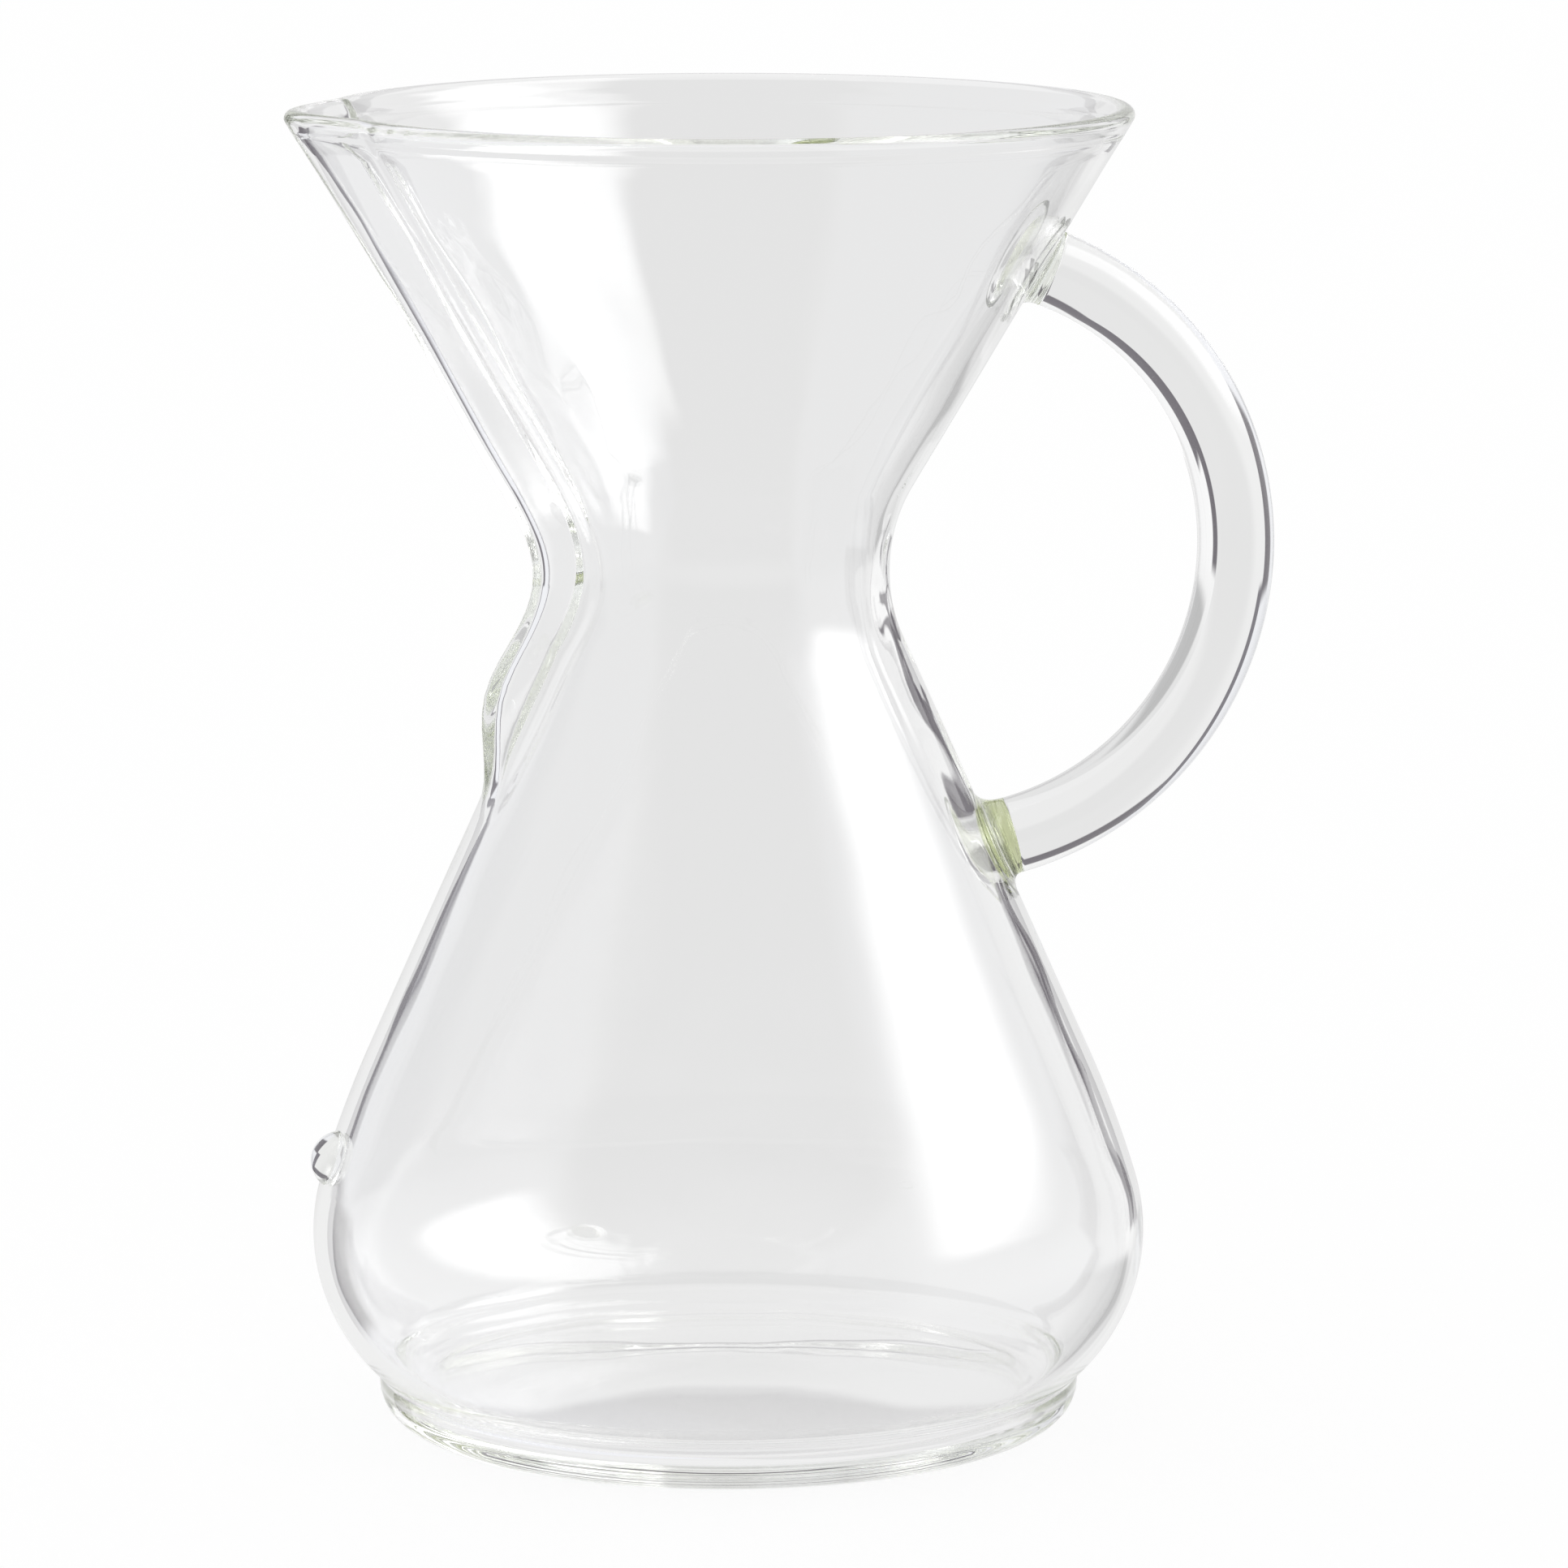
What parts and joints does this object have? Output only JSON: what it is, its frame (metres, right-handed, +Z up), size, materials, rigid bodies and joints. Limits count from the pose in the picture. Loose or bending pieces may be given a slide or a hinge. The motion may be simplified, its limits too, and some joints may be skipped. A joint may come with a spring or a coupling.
{
  "type": "pour-over coffee maker",
  "caption": "Hourglass pour-over coffee maker of clear glass: funnel with a pouring spout and air channel, narrow neck, round flask on a low foot, and a bowed glass rod handle.",
  "frame": {"origin": "centre of the base, on the plane on which the coffee maker stands, on the axis of the flask", "axes": "+Z up along the axis of the flask, -X towards the spout, +X towards the handle; XZ is the mirror plane"},
  "size_m": [0.1688, 0.1424, 0.225],
  "materials": {
    "body_glass": "clear blown borosilicate glass, fire-polished",
    "rod_glass": "clear solid borosilicate rod, fire-polished",
    "weld_glass": "melted borosilicate glass, faintly green where it is thick",
    "button_glass": "melted borosilicate glass button, smooth"
  },
  "bodies": {
    "root": {"glass_body": "body_glass", "handle": "rod_glass", "upper_handle_weld": "weld_glass", "lower_handle_weld": "weld_glass", "level_button": "button_glass"}
  },
  "joints": []
}
